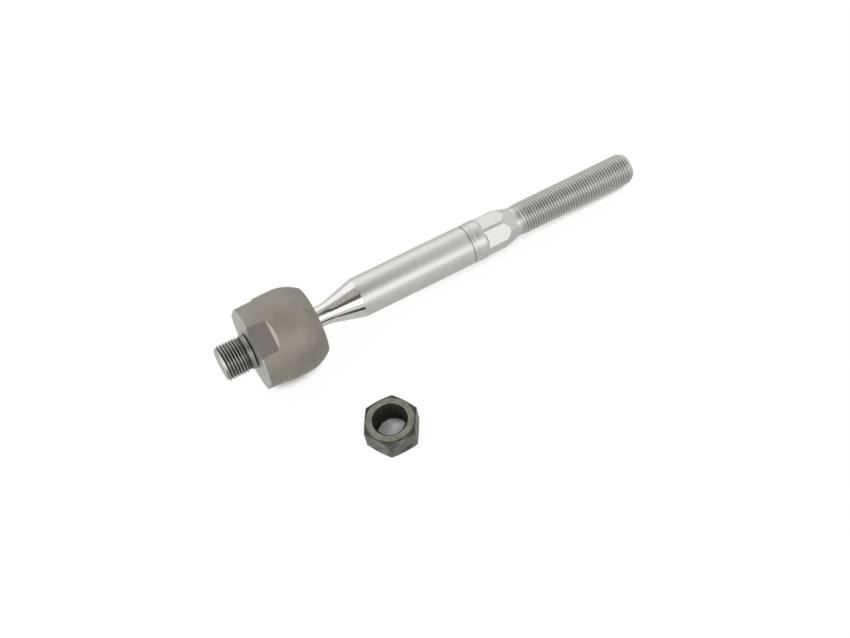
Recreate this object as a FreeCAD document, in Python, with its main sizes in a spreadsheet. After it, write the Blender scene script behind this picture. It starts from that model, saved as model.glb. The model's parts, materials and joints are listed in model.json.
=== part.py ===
import FreeCAD, Part
import math
import os

import Sketcher

# Inner tie rod: a steel socket with a threaded stud, a plastic seat round the ball,
# a rod that is turned in one piece with the ball, and the lock nut lying beside it.
# All lengths are millimetres, all angles degrees.
# Along the rod, places are distances from the middle of the ball.

SIZES = {
    # socket, outside
    "stud_dia": 18.0,
    "stud_length": 16.0,
    "stud_chamfer": 1.5,
    "stud_relief_dia": 16.2,
    "stud_relief_width": 0.7,
    "root_ring_width": 0.8,
    "root_groove_width": 0.9,
    "face_back": 21.0,
    "face_recess_dia": 18.8,
    "face_recess_depth": 0.35,
    "front_dia": 43.2,
    "front_edge": 0.5,
    "belly_dia": 43.6,
    "belly_back": 4.5,
    "shoulder_radius": 20.0,
    "nose_angle": 33.0,
    "nose_drop": 4.8,
    "nose_edge": 0.7,
    "mouth_front": 12.3,
    # wrench flats on the socket
    "wrench_across": 39.8,
    "wrench_length": 9.5,
    "wrench_draft": 2.1,
    "wrench_ramp_angle": 45.0,
    "wrench_roll": 28.9,
    # ball, seat and mouth
    "ball_dia": 24.0,
    "ball_gap": 0.04,
    "seat_wall": 2.2,
    "seat_gap": 0.05,
    "seat_front": 7.6,
    "slit_width": 1.2,
    "slit_length": 9.0,
    "swing_limit": 25.0,
    "neck_gap": 0.25,
    # rod
    "neck_dia": 10.5,
    "neck_blend": 14.0,
    "taper_angle": 15.5,
    "body_start": 36.7,
    "body_blend": 3.0,
    "body_dia": 20.2,
    "boot_groove_at": 97.2,
    "boot_groove_width": 1.2,
    "boot_groove_depth": 0.8,
    "ridge_width": 1.3,
    "line_groove_width": 1.3,
    "line_groove_depth": 0.2,
    "collar_dia": 20.4,
    "collar_width": 4.0,
    "collar_round": 2.0,
    "hex_across": 18.0,
    "hex_corner_dia": 19.9,
    "hex_length": 11.6,
    "hex_cone_angle": 17.0,
    "hex_roll": 20.6,
    "thread_relief_dia": 15.0,
    "thread_relief_width": 1.4,
    "thread_dia": 16.0,
    "thread_length": 67.2,
    "tip_dia": 12.8,
    "tip_angle": 30.0,
    # lock nut
    "nut_across": 24.0,
    "nut_height": 13.0,
    "nut_bore_dia": 14.38,
    "nut_sink_dia": 17.0,
    "nut_face_dia": 22.8,
    "nut_bevel_angle": 30.0,
    "nut_ahead": 18.2,
    "nut_aside": 64.2,
    "nut_turn": 27.75,
}

WRENCH_FLAT_COUNT = 4
SEAT_SLIT_COUNT = 6
HEXAGON_SIDE_COUNT = 6
SHOULDER_CONE_COUNT = 4
COLLAR_CONE_COUNT = 3
SAME_PLACE = 0.001

doc = FreeCAD.newDocument("inner_tie_rod")
sheet = doc.addObject("Spreadsheet::Sheet", "dims")
for row, (alias, size) in enumerate(SIZES.items(), start=1):
    sheet.set(f"A{row}", alias)
    sheet.set(f"B{row}", str(size))
    sheet.setAlias(f"B{row}", alias)
doc.recompute()


def value(text):
    """The number that an expression on the sheet stands for."""
    return float(sheet.evalExpression(text))


def origin_plane(body, role):
    """One of the body's own origin planes."""
    return next(f for f in body.Origin.OriginFeatures if f.Role == role)


def new_body(label):
    """An empty body that will be written under this name."""
    body = doc.addObject("PartDesign::Body", label)
    body.Label = label
    return body


def outline(body, name, plane, corners, along="0"):
    """A closed outline of straight lines, each corner placed by two expressions."""
    sketch = body.newObject("Sketcher::SketchObject", name)
    sketch.AttachmentSupport = [(origin_plane(body, plane), "")]
    sketch.MapMode = "FlatFace"
    if along != "0":
        sketch.setExpression("AttachmentOffset.Base.z", along)
    spots = [FreeCAD.Vector(value(x), value(y), 0) for x, y in corners]
    count = len(spots)
    for number, spot in enumerate(spots):
        sketch.addGeometry(Part.LineSegment(spot, spots[(number + 1) % count]), False)
    for number in range(count):
        following = (number + 1) % count
        sketch.addConstraint(Sketcher.Constraint("Coincident", number, 2, following, 1))
    for number, (across, up) in enumerate(corners):
        for kind, text in (("DistanceX", across), ("DistanceY", up)):
            rule = Sketcher.Constraint(kind, -1, 1, number, 1, value(text))
            index = sketch.addConstraint(rule)
            sketch.setExpression(f"Constraints[{index}]", text)
    return sketch


def turned(body, name, corners, plane="XY_Plane", axis="H_Axis", cut=False):
    """A turned feature: the outline swept once round the axis, added or cut away."""
    sketch = outline(body, name + "_outline", plane, corners)
    doc.recompute()
    kind = "PartDesign::Groove" if cut else "PartDesign::Revolution"
    feature = body.newObject(kind, name)
    feature.Profile = sketch
    feature.ReferenceAxis = (sketch, [axis])
    feature.Angle = 360.0
    doc.recompute()
    return feature


def straight(body, name, sketch, depth, cut=False, middle=False):
    """A pad or pocket of the sketch, to one side or evenly to both."""
    kind = "PartDesign::Pocket" if cut else "PartDesign::Pad"
    feature = body.newObject(kind, name)
    feature.Profile = sketch
    if middle:
        feature.SideType = "Symmetric"
    feature.setExpression("Length", depth)
    doc.recompute()
    return feature


def repeated(body, name, feature, role, times):
    """Even copies of a feature round one of the body's axes."""
    pattern = body.newObject("PartDesign::PolarPattern", name)
    pattern.Originals = [feature]
    pattern.Axis = (origin_plane(body, role), [""])
    pattern.Angle = 360.0
    pattern.Occurrences = times
    body.Tip = pattern
    doc.recompute()
    return pattern


def rings(feature, places):
    """Names of the circular edges that stand at these (place, radius) pairs."""
    wanted = [(value(x), value(radius)) for x, radius in places]
    names = []
    for number, edge in enumerate(feature.Shape.Edges, start=1):
        curve = edge.Curve
        if not isinstance(curve, Part.Circle):
            continue
        for x, radius in wanted:
            if math.dist((curve.Center.x, curve.Radius), (x, radius)) < SAME_PLACE:
                names.append(f"Edge{number}")
    return names


def rounded(body, name, feature, places, radius):
    """Round the circular edges that stand at these places."""
    fillet = body.newObject("PartDesign::Fillet", name)
    fillet.Base = (feature, rings(feature, places))
    fillet.setExpression("Radius", radius)
    doc.recompute()
    return fillet


def bend(start, top, radius, angle, cones):
    """Corners of a round that falls away from a place, drawn as short straight lines."""
    corners = []
    for number in range(cones + 1):
        turn = f"({angle}) * {number} / {cones}"
        corners.append((f"{start} + {radius} * sin({turn})",
                        f"{top} - {radius} * (1 - cos({turn}))"))
    return corners


# Socket outline: stud, rack face, drafted barrel, round shoulder and nose

STUD_TIP = "-dims.face_back - dims.stud_length"
ROOT_RING_FRONT = "-dims.face_back - dims.root_groove_width"
ROOT_RING_BACK = f"{ROOT_RING_FRONT} - dims.root_ring_width"
STUD_THREAD_END = f"{ROOT_RING_BACK} - dims.stud_relief_width"
RECESS_FLOOR = "-dims.face_back + dims.face_recess_depth"
SHOULDER_AT = "dims.mouth_front - dims.nose_drop / tan(dims.nose_angle)"
NOSE_RADIUS = "(dims.belly_dia / 2 - dims.nose_drop)"
BEND_AT = f"{SHOULDER_AT} - dims.shoulder_radius * tan(dims.nose_angle / 2)"
SHOULDER = bend(BEND_AT, "dims.belly_dia / 2", "dims.shoulder_radius",
                "dims.nose_angle", SHOULDER_CONE_COUNT)

# Socket bore: the seat's outside with its gap, and a mouth that follows the neck

BALL_BORE = "dims.ball_dia / 2 + dims.ball_gap"
SEAT_RADIUS = f"{BALL_BORE} + dims.seat_wall"
BORE_RADIUS = f"{SEAT_RADIUS} + dims.seat_gap"
LIP_AT = "dims.seat_front + dims.seat_gap"
MOUTH_SLOPE = "tan(dims.swing_limit)"
MOUTH_START = "(dims.neck_dia / 2 + dims.neck_gap) / cos(dims.swing_limit)"


def make_socket():
    """Forged socket with its rack stud, wrench flats and rolled-in mouth."""
    body = new_body("socket_housing")
    turned(body, "forging", [
        (STUD_TIP, "0"),
        (STUD_TIP, "dims.stud_dia / 2 - dims.stud_chamfer"),
        (f"{STUD_TIP} + dims.stud_chamfer", "dims.stud_dia / 2"),
        (STUD_THREAD_END, "dims.stud_dia / 2"),
        (STUD_THREAD_END, "dims.stud_relief_dia / 2"),
        (ROOT_RING_BACK, "dims.stud_relief_dia / 2"),
        (ROOT_RING_BACK, "dims.stud_dia / 2"),
        (ROOT_RING_FRONT, "dims.stud_dia / 2"),
        (ROOT_RING_FRONT, "dims.stud_relief_dia / 2"),
        (RECESS_FLOOR, "dims.stud_relief_dia / 2"),
        (RECESS_FLOOR, "dims.face_recess_dia / 2"),
        ("-dims.face_back", "dims.face_recess_dia / 2"),
        ("-dims.face_back", "dims.front_dia / 2 - dims.front_edge"),
        ("-dims.face_back + dims.front_edge", "dims.front_dia / 2"),
        ("-dims.belly_back", "dims.belly_dia / 2"),
        *SHOULDER,
        ("dims.mouth_front - dims.nose_edge",
         f"{NOSE_RADIUS} + dims.nose_edge * tan(dims.nose_angle)"),
        ("dims.mouth_front", f"{NOSE_RADIUS} - dims.nose_edge"),
        ("dims.mouth_front", "0"),
    ])
    turned(body, "socket", [
        (f"-({BORE_RADIUS})", "0"),
        (f"-({BORE_RADIUS})", BORE_RADIUS),
        (LIP_AT, BORE_RADIUS),
        (LIP_AT, f"({LIP_AT}) * {MOUTH_SLOPE} + {MOUTH_START}"),
        ("dims.mouth_front", f"dims.mouth_front * {MOUTH_SLOPE} + {MOUTH_START}"),
        ("dims.mouth_front", "0"),
    ], cut=True)

    # each flat has the draft of its forging die and ends in a short ramp
    rise = "dims.wrench_length * tan(dims.wrench_draft)"
    ramp_rise = "(dims.belly_dia - dims.wrench_across) / 2"
    flat_end = "-dims.face_back + dims.wrench_length"
    ramp_end = f"{flat_end} + {ramp_rise} / tan(dims.wrench_ramp_angle)"
    sketch = outline(body, "flat_outline", "XY_Plane", [
        ("-dims.face_back", "dims.wrench_across / 2"),
        (flat_end, f"dims.wrench_across / 2 + {rise}"),
        (ramp_end, f"dims.wrench_across / 2 + {rise} + {ramp_rise}"),
        (ramp_end, "dims.belly_dia"),
        ("-dims.face_back", "dims.belly_dia"),
    ])
    flat = straight(body, "flat", sketch, "dims.belly_dia", cut=True, middle=True)
    repeated(body, "flats", flat, "X_Axis", WRENCH_FLAT_COUNT)
    return body


def make_seat():
    """Moulded cup, slit so that it snaps on, that touches the ball along four rings."""
    body = new_body("ball_seat")
    turned(body, "cup", [
        (f"-({SEAT_RADIUS})", "0"),
        (f"-({SEAT_RADIUS})", SEAT_RADIUS),
        ("dims.seat_front", SEAT_RADIUS),
        ("dims.seat_front", "0"),
    ])
    space = f"({BALL_BORE}) * tan(22.5)"
    turned(body, "ball_space", [
        (f"-({BALL_BORE})", "0"),
        (f"-({BALL_BORE})", space),
        (f"-({space})", BALL_BORE),
        (space, BALL_BORE),
        ("dims.seat_front", f"({BALL_BORE}) * sqrt(2) - dims.seat_front"),
        ("dims.seat_front", "0"),
    ], cut=True)
    sketch = outline(body, "slit_outline", "XZ_Plane", [
        ("dims.seat_front - dims.slit_length", "-dims.slit_width / 2"),
        ("dims.seat_front", "-dims.slit_width / 2"),
        ("dims.seat_front", "dims.slit_width / 2"),
        ("dims.seat_front - dims.slit_length", "dims.slit_width / 2"),
    ])
    slit = straight(body, "slit", sketch, "dims.ball_dia", cut=True)
    repeated(body, "slits", slit, "X_Axis", SEAT_SLIT_COUNT)
    return body


# Rod stations, one after another from the neck to the threaded end

TAPER_START = "dims.body_start - (dims.body_dia - dims.neck_dia) / 2 / tan(dims.taper_angle)"
BOOT_GROOVE_END = "dims.boot_groove_at + dims.boot_groove_width"
RIDGE_END = f"{BOOT_GROOVE_END} + dims.ridge_width"
COLLAR_START = f"{RIDGE_END} + dims.line_groove_width"
COLLAR_END = f"{COLLAR_START} + dims.collar_width"
COLLAR_ROUND = bend(COLLAR_END, "dims.collar_dia / 2", "dims.collar_round",
                    "90", COLLAR_CONE_COUNT)
HEX_END = f"{COLLAR_END} + dims.hex_length"
HEX_HALF = "dims.hex_across / 2"
STRIP_AT = "sqrt(dims.hex_corner_dia ^ 2 - dims.hex_across ^ 2) / 2"
CONE_END = (
    f"{HEX_END} + (dims.hex_corner_dia - dims.thread_relief_dia) / 2"
    " / tan(dims.hex_cone_angle)"
)
THREAD_START = f"{CONE_END} + dims.thread_relief_width"
THREAD_FULL = f"{THREAD_START} + (dims.thread_dia - dims.thread_relief_dia) / 2"
ROD_TIP = f"{THREAD_START} + dims.thread_length"
TIP_START = f"{ROD_TIP} - (dims.thread_dia - dims.tip_dia) / 2 / tan(dims.tip_angle)"


def make_rod():
    """Ball, polished neck, taper, body, boot groove, collar, hexagon and threaded end."""
    body = new_body("tie_rod")
    shaft = turned(body, "shaft", [
        ("0", "0"),
        ("0", "dims.neck_dia / 2"),
        (TAPER_START, "dims.neck_dia / 2"),
        ("dims.body_start", "dims.body_dia / 2"),
        ("dims.boot_groove_at", "dims.body_dia / 2"),
        ("dims.boot_groove_at + dims.boot_groove_width / 4",
         "dims.body_dia / 2 - dims.boot_groove_depth"),
        (f"{BOOT_GROOVE_END} - dims.boot_groove_width / 4",
         "dims.body_dia / 2 - dims.boot_groove_depth"),
        (BOOT_GROOVE_END, "dims.body_dia / 2"),
        (RIDGE_END, "dims.body_dia / 2"),
        (RIDGE_END, "dims.body_dia / 2 - dims.line_groove_depth"),
        (COLLAR_START, "dims.body_dia / 2 - dims.line_groove_depth"),
        (COLLAR_START, "dims.collar_dia / 2"),
        *COLLAR_ROUND,
        (f"{COLLAR_END} + dims.collar_round", "dims.thread_relief_dia / 2"),
        (THREAD_START, "dims.thread_relief_dia / 2"),
        (THREAD_FULL, "dims.thread_dia / 2"),
        (TIP_START, "dims.thread_dia / 2"),
        (ROD_TIP, "dims.tip_dia / 2"),
        (ROD_TIP, "0"),
    ])
    shaft = rounded(body, "neck_blend", shaft, [(TAPER_START, "dims.neck_dia / 2")],
                    "dims.neck_blend")
    rounded(body, "body_blend", shaft, [("dims.body_start", "dims.body_dia / 2")],
            "dims.body_blend")
    ball = body.newObject("PartDesign::AdditiveSphere", "ball")
    ball.AttachmentSupport = [(origin_plane(body, "YZ_Plane"), "")]
    ball.MapMode = "FlatFace"
    ball.setExpression("Radius", "dims.ball_dia / 2")
    doc.recompute()

    # the hexagon grows out of the collar's round end, its corners cut to narrow strips
    corners = []
    for side in range(HEXAGON_SIDE_COUNT):
        turn = f"{360 / HEXAGON_SIDE_COUNT * side}"
        for strip in (f"(-{STRIP_AT})", STRIP_AT):
            corners.append((f"{HEX_HALF} * cos({turn}) - {strip} * sin({turn})",
                            f"{HEX_HALF} * sin({turn}) + {strip} * cos({turn})"))
    sketch = outline(body, "hexagon_outline", "YZ_Plane", corners, along=COLLAR_END)
    straight(body, "hexagon", sketch, f"({CONE_END}) - ({COLLAR_END})")
    turned(body, "hexagon_cone", [
        (f"{HEX_END} - dims.thread_relief_width",
         "dims.hex_corner_dia / 2 + dims.thread_relief_width * tan(dims.hex_cone_angle)"),
        (CONE_END, "dims.thread_relief_dia / 2"),
        (CONE_END, "dims.hex_corner_dia"),
        (f"{HEX_END} - dims.thread_relief_width", "dims.hex_corner_dia"),
    ], cut=True)
    return body


def make_nut():
    """Lock nut for the rod's thread, bevelled on both faces."""
    body = new_body("jam_nut")
    half = "dims.nut_across / 2"
    sketch = outline(body, "nut_outline", "XY_Plane", [
        (half, f"{half} * tan(30)"),
        ("0", f"{half} / cos(30)"),
        (f"-{half}", f"{half} * tan(30)"),
        (f"-{half}", f"-{half} * tan(30)"),
        ("0", f"-{half} / cos(30)"),
        (half, f"-{half} * tan(30)"),
    ])
    straight(body, "hexagon", sketch, "dims.nut_height")
    fall = "(dims.nut_across - dims.nut_face_dia / 2) * tan(dims.nut_bevel_angle)"
    for name, face, inward in (("lower", "0", "+"), ("upper", "dims.nut_height", "-")):
        turned(body, f"{name}_bevel", [
            ("dims.nut_face_dia / 2", face),
            ("dims.nut_across", face),
            ("dims.nut_across", f"{face} {inward} {fall}"),
        ], plane="XZ_Plane", axis="V_Axis", cut=True)
    sink = "(dims.nut_sink_dia - dims.nut_bore_dia) / 2"
    turned(body, "bore", [
        ("0", "0"),
        ("dims.nut_sink_dia / 2", "0"),
        ("dims.nut_bore_dia / 2", sink),
        ("dims.nut_bore_dia / 2", f"dims.nut_height - {sink}"),
        ("dims.nut_sink_dia / 2", "dims.nut_height"),
        ("0", "dims.nut_height"),
    ], plane="XZ_Plane", axis="V_Axis", cut=True)
    return body


def lie_down():
    """How the rod lies on a floor: its slope and the place of the ball's middle.

    A ring of the socket's shoulder and the last full thread touch the floor at height 0.
    The origin is the middle of the footprint.
    """
    ahead = value(TIP_START)
    below = value("dims.thread_dia / 2")
    rings_below = [(value(x), value(radius)) for x, radius in SHOULDER]
    slopes = [math.atan2(radius - below, ahead - x) for x, radius in rings_below]
    slope = max(slopes)
    height = ahead * math.sin(slope) + below * math.cos(slope)
    stud_end = value("dims.stud_dia / 2 - dims.stud_chamfer")
    back = value(STUD_TIP) * math.cos(slope) - stud_end * math.sin(slope)
    front = value(ROD_TIP) * math.cos(slope) + value("dims.tip_dia / 2") * math.sin(slope)
    corner = value("dims.nut_across / 2 / cos(30)")
    turns = [math.radians(value("dims.nut_turn") + 60 * side + 30) for side in range(HEXAGON_SIDE_COUNT)]
    near = -value("dims.nut_aside") + corner * min(math.sin(turn) for turn in turns)
    far = value("dims.belly_dia") / 2
    middle = FreeCAD.Vector(-(back + front) / 2, -(near + far) / 2, height)
    return math.degrees(slope), middle


slope, middle = lie_down()
tilt = FreeCAD.Rotation(FreeCAD.Vector(0, 1, 0), slope)


def rolled(angle):
    """Lying with the rod's slope, and rolled about the rod's own line."""
    return tilt.multiply(FreeCAD.Rotation(FreeCAD.Vector(1, 0, 0), angle))


housing = make_socket()
seat = make_seat()
rod = make_rod()
nut = make_nut()
housing.Placement = FreeCAD.Placement(middle, rolled(value("dims.wrench_roll")))
seat.Placement = FreeCAD.Placement(middle, tilt)
rod.Placement = FreeCAD.Placement(middle, rolled(value("dims.hex_roll")))
nut_spot = FreeCAD.Vector(
    middle.x + value("dims.nut_ahead"), middle.y - value("dims.nut_aside"), 0
)
nut_turn = FreeCAD.Rotation(FreeCAD.Vector(0, 0, 1), value("dims.nut_turn"))
nut.Placement = FreeCAD.Placement(nut_spot, nut_turn)
doc.recompute()

bodies = [housing, seat, rod, nut]
for thing in doc.Objects:
    if "Invalid" in thing.State or "Error" in thing.State:
        raise RuntimeError(f"{thing.Label} failed: {thing.State}")
for body in bodies:
    if body.Shape.isNull() or not body.Shape.isValid() or len(body.Shape.Solids) != 1:
        raise RuntimeError(f"{body.Label} is not one sound solid")

os.makedirs("parts", exist_ok=True)
for body in bodies:
    body.Shape.exportStep(f"parts/{body.Label}.step")
    print(body.Label, "volume", round(body.Shape.Volume, 1), "mm3")
print("slope", round(slope, 4), "ball middle", [round(c, 4) for c in middle])
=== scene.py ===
"""Looks of an inner tie rod: forged socket, plastic seat, turned rod and lock nut."""

import json
import math

import bpy
from mathutils import Matrix, Vector


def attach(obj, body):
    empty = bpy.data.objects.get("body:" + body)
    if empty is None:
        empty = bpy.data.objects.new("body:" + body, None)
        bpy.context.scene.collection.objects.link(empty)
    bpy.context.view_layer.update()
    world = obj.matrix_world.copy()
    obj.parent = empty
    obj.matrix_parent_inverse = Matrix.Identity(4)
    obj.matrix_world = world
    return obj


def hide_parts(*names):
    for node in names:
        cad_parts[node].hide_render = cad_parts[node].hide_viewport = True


bl_info = {
    "name": "Inner tie rod",
    "version": (1, 0, 0),
    "blender": (4, 5, 0),
    "location": "3D View > Sidebar > Tie rod",
    "description": "Builds the socket, seat, rod, lock nut and their studio",
    "category": "Object",
}

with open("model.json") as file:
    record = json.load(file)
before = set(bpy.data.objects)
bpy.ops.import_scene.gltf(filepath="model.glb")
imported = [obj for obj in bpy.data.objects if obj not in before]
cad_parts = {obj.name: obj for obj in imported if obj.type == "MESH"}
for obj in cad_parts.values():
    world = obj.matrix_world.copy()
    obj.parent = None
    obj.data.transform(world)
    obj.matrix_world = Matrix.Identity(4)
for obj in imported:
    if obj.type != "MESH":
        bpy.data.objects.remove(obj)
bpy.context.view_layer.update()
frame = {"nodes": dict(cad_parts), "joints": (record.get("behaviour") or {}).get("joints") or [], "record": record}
JOINTS = {joint["name"]: joint for joint in frame["joints"]}
MOUNTS = {mount["name"]: mount for mount in frame["record"]["mounts"]}
BALL_MIDDLE = Vector(JOINTS["seat_turn"]["pos_m"])
ROD_LINE = Vector(JOINTS["seat_turn"]["axis"]).normalized()
SWING_LINE = Vector(JOINTS["rod_swing"]["axis"]).normalized()
NUT_MIDDLE = Vector(MOUNTS["nut_thread"]["pos_m"])
STUD_RADIUS = MOUNTS["rack_stud"]["dims"]["r_mm"] / 1000
ROD_THREAD_RADIUS = MOUNTS["rod_thread"]["dims"]["r_mm"] / 1000
NUT_BORE_RADIUS = MOUNTS["nut_thread"]["dims"]["r_mm"] / 1000

MM = 0.001

THREAD_DEPTH = 0.92 * MM
NUT_THREAD_DEPTH = 0.81 * MM
THREAD_STEPS = 96
TURNED_SIDES = 256
NUT_SIDES = 192
RING_SIDES = 48
# Edges sharper than this many degrees stay sharp.
SMOOTH_TURNED = 12
SMOOTH_THREAD = 50
SMOOTH_NUT = 22
CHAMFER_SLACK = 0.03 * MM
CLOUD_SIZE = 9 * MM
SLANTED = 0.3  # a face leans this much along X where it is a ramp or a bevel
SQUARE = 0.99  # and this much where it is an end face
WHITE = (1, 1, 1, 1)
MULTIPLY = {"data_type": "RGBA", "blend_type": "MULTIPLY", "in_Factor": 1.0}


def size(name, description, millimetres):
    """A length that a user may change, in metres."""
    return bpy.props.FloatProperty(
        name=name, description=description, default=millimetres * MM, unit="LENGTH", precision=5
    )


def angle(name, description, degrees):
    """An angle that a user may change."""
    return bpy.props.FloatProperty(
        name=name, description=description, default=math.radians(degrees), subtype="ANGLE"
    )


def linear(code):
    """The linear colour of an sRGB hex code such as #9C9A90."""
    channels = []
    for start in (1, 3, 5):
        level = int(code[start:start + 2], 16) / 255
        channels.append(level / 12.92 if level <= 0.04045 else ((level + 0.055) / 1.055) ** 2.4)
    return (*channels, 1.0)


def tint(name, description, code):
    """A colour that a user may change."""
    return bpy.props.FloatVectorProperty(
        name=name, description=description, default=linear(code), size=4, subtype="COLOR",
        min=0.0, max=1.0
    )


class SocketSizes(bpy.types.PropertyGroup):
    """Sizes of the forged socket and its stud."""

    stud_length: size("Stud length", "From the rack face to the stud's tip", 16.0)
    stud_chamfer: size("Stud chamfer", "Chamfer at the stud's tip", 1.5)
    stud_relief: size("Stud relief", "Radius of the relief behind the stud's thread", 8.1)
    relief_width: size("Relief width", "Width of that relief", 1.1)
    line_ring_width: size("Line ring", "Width of the narrow ring beside the relief", 0.4)
    line_groove_width: size("Line groove", "Width of the groove between the two rings", 0.6)
    line_groove_depth: size("Line groove depth", "Depth of that groove", 0.4)
    ring_width: size("Root ring", "Width of the wide ring", 0.8)
    groove_width: size("Root groove", "Width of the groove at the rack face", 0.9)
    face_back: size("Face place", "From the ball's middle back to the rack face", 21.0)
    recess_radius: size("Recess radius", "Radius of the recess round the stud", 9.4)
    recess_depth: size("Recess depth", "Depth of the recess round the stud", 0.35)
    front_radius: size("Front radius", "Radius at the rack face", 21.58)
    front_edge: size("Front edge", "Round of the rack face's edge", 0.5)
    belly_radius: size("Belly radius", "Largest radius", 21.74)
    belly_back: size("Belly place", "From the ball's middle back to the widest ring", 4.5)
    shoulder_radius: size("Shoulder", "Radius of the rounded shoulder", 20.0)
    nose_angle: angle("Nose angle", "Slope of the rolled-in nose", 33.0)
    nose_drop: size("Nose drop", "From the belly in to the nose at the mouth's face", 4.74)
    nose_edge: size("Nose edge", "Round between the nose and the mouth's face", 1.0)
    mouth_front: size("Mouth place", "From the ball's middle to the mouth's face", 12.3)
    mouth_radius: size("Mouth radius", "Radius of the mouth at its face", 11.8)
    lip_radius: size("Lip radius", "Radius of the mouth where it meets the seat", 9.64)
    lip_place: size("Lip place", "From the ball's middle to the lip", 7.65)
    bore_radius: size("Bore radius", "Radius of the bore that holds the seat", 14.29)
    flat_distance: size("Flat distance", "From the middle to each wrench flat", 19.9)
    flat_length: size("Flat length", "Length of the wrench flats", 9.5)
    flat_draft: angle("Flat draft", "Draft of the wrench flats", 2.1)
    flat_ramp: angle("Flat ramp", "Slope of the ramp that ends a flat", 45.0)
    flat_roll: angle("Flat roll", "Turn of the flats about the rod's line", 28.9)


class RodSizes(bpy.types.PropertyGroup):
    """Sizes of the rod, all from the ball's middle."""

    ball_radius: size("Ball radius", "Radius of the ball", 12.0)
    neck_radius: size("Neck radius", "Radius of the polished neck", 5.25)
    neck_blend: size("Neck blend", "Radius between neck and taper", 24.0)
    taper_angle: angle("Taper angle", "Half angle of the taper", 15.5)
    body_start: size("Body start", "Where the taper reaches the body", 36.7)
    body_blend: size("Body blend", "Radius between taper and body", 3.0)
    body_radius: size("Body radius", "Radius of the body", 10.1)
    groove_at: size("Boot groove", "Where the boot groove starts", 97.2)
    groove_width: size("Groove width", "Width of the boot groove", 1.2)
    groove_depth: size("Groove depth", "Depth of the boot groove", 0.8)
    ridge_width: size("Ridge width", "Width of the ridge beside it", 1.3)
    line_width: size("Line width", "Width of the shallow line before the collar", 1.3)
    line_depth: size("Line depth", "Depth of that line", 0.2)
    collar_radius: size("Collar radius", "Radius of the collar", 10.2)
    collar_width: size("Collar width", "Width of the collar", 4.0)
    collar_round: size("Collar round", "Radius of the collar's round end", 2.0)
    hex_half: size("Hexagon", "Half the hexagon's width across flats", 9.0)
    hex_corner: size("Hexagon corner", "Radius of the hexagon's turned corners", 9.95)
    hex_length: size("Hexagon length", "From the collar to the cone", 11.6)
    hex_cone: angle("Hexagon cone", "Slope of the cone behind the hexagon", 17.0)
    hex_roll: angle("Hexagon roll", "Turn of the hexagon about the rod's line", 20.6)
    relief_radius: size("Relief radius", "Radius of the thread's relief", 7.5)
    relief_width: size("Relief width", "Width of the thread's relief", 1.4)
    thread_length: size("Thread length", "From the relief to the tip", 67.2)
    tip_radius: size("Tip radius", "Radius of the tip's face", 6.4)
    tip_angle: angle("Tip angle", "Slope of the tip's chamfer", 30.0)
    pitch: size("Pitch", "Pitch of every thread of the part", 1.5)


class NutSizes(bpy.types.PropertyGroup):
    """Sizes of the lock nut."""

    half_width: size("Half width", "Half the width across flats", 12.0)
    height: size("Height", "Height of the nut", 13.0)
    sink_radius: size("Countersink", "Radius of the countersink", 8.5)
    face_radius: size("Face radius", "Radius of the flat bearing face", 11.4)
    bevel_angle: angle("Bevel angle", "Slope of the bevels on both faces", 30.0)
    side_round: size("Side round", "Round between the six sides", 1.3)
    turn: angle("Turn", "Turn of the nut on the floor", 27.75)


class FinishColours(bpy.types.PropertyGroup):
    """Colours of the finishes."""

    forging: tint("Blasted forging", "Shot-blasted skin of the socket", "#97948B")
    milled: tint("Milled steel", "Milled flats of the socket", "#878480")
    # Slightly lighter than the milled flats: partly the bright cut, partly a painted highlight on the ramps.
    fresh_cut_highlight: tint("Fresh cut steel with painted highlight", "Ramps that end the flats, bright from the cutter", "#8B8882")
    polished: tint("Polished steel", "Ground and polished neck", "#D4D3D0")
    satin: tint("Ground steel", "Body, hexagon and thread of the rod", "#C5C6C2")
    rolled: tint("Turned steel", "Rack face, root rings and thread of the stud", "#B4B4AE")
    acetal: tint("Acetal", "Natural acetal of the seat", "#DDDBD0")
    oxide: tint("Black oxide", "Oiled black finish of the nut", "#5E5F58")
    rubbed: tint("Rubbed oxide", "The nut's bearing faces", "#7F8076")


def lay_down(piece, roll=0.0):
    """Bring a piece made along X round the origin to where the part lies."""
    side_line = SWING_LINE.cross(ROD_LINE)
    turn = Matrix((ROD_LINE, side_line, SWING_LINE)).transposed().to_4x4()
    piece.matrix_world = Matrix.Translation(BALL_MIDDLE) @ turn @ Matrix.Rotation(roll, 4, "X")
    settle(piece)


def settle(piece):
    """Put the piece's place into its mesh."""
    pick(piece)
    bpy.ops.object.transform_apply(location=True, rotation=True, scale=True)


def pick(*pieces):
    """Select only these pieces, the last one active."""
    bpy.ops.object.select_all(action="DESELECT")
    for piece in pieces:
        piece.select_set(True)
    bpy.context.view_layer.objects.active = pieces[-1]


def arc(middle, radius, start, end, steps):
    """Stations along a round in the outline, from one angle to the other."""
    turns = [start + (end - start) * step / steps for step in range(steps + 1)]
    return [(middle[0] + radius * math.cos(t), middle[1] + radius * math.sin(t)) for t in turns]


def blend(before, corner, after, radius, steps):
    """Stations of a round of this radius that replaces the corner."""
    corner = Vector(corner)
    back = (Vector(before) - corner).normalized()
    ahead = (Vector(after) - corner).normalized()
    half = back.angle(ahead) / 2
    middle = corner + (back + ahead).normalized() * radius / math.sin(half)
    first = corner + back * radius / math.tan(half) - middle
    last = corner + ahead * radius / math.tan(half) - middle
    start = math.atan2(first.y, first.x)
    sweep = math.remainder(math.atan2(last.y, last.x) - start, math.tau)
    return arc(middle, radius, start, start + sweep, steps)


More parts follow.
